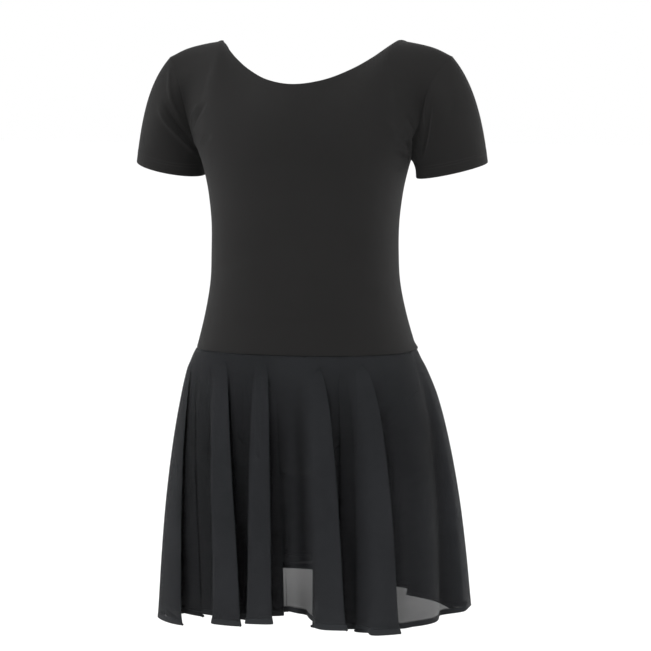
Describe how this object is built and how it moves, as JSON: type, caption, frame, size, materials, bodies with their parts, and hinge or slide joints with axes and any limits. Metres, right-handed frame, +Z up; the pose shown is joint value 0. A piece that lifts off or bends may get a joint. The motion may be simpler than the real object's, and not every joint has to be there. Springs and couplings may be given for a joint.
{
  "type": "ballet dress",
  "caption": "Child's short-sleeved ballet dress, filled out as worn: a close jersey leotard with a scoop neck and brief, and a flared sheer chiffon skirt.",
  "frame": {"origin": "between the two neck points that rest on the wearer's shoulders, at their height", "axes": "+Z up, the wearer's front towards -Y, the wearer's left towards +X"},
  "size_m": [0.407, 0.2892, 0.652],
  "materials": {
    "black_jersey": "matte stretch jersey",
    "black_chiffon": "sheer matte chiffon"
  },
  "bodies": {
    "root": {"bodice_front": "black_jersey", "bodice_back": "black_jersey", "sleeve_left": "black_jersey", "sleeve_right": "black_jersey", "brief_front": "black_jersey", "brief_back": "black_jersey", "skirt_front": "black_chiffon", "skirt_back": "black_chiffon"}
  },
  "joints": []
}
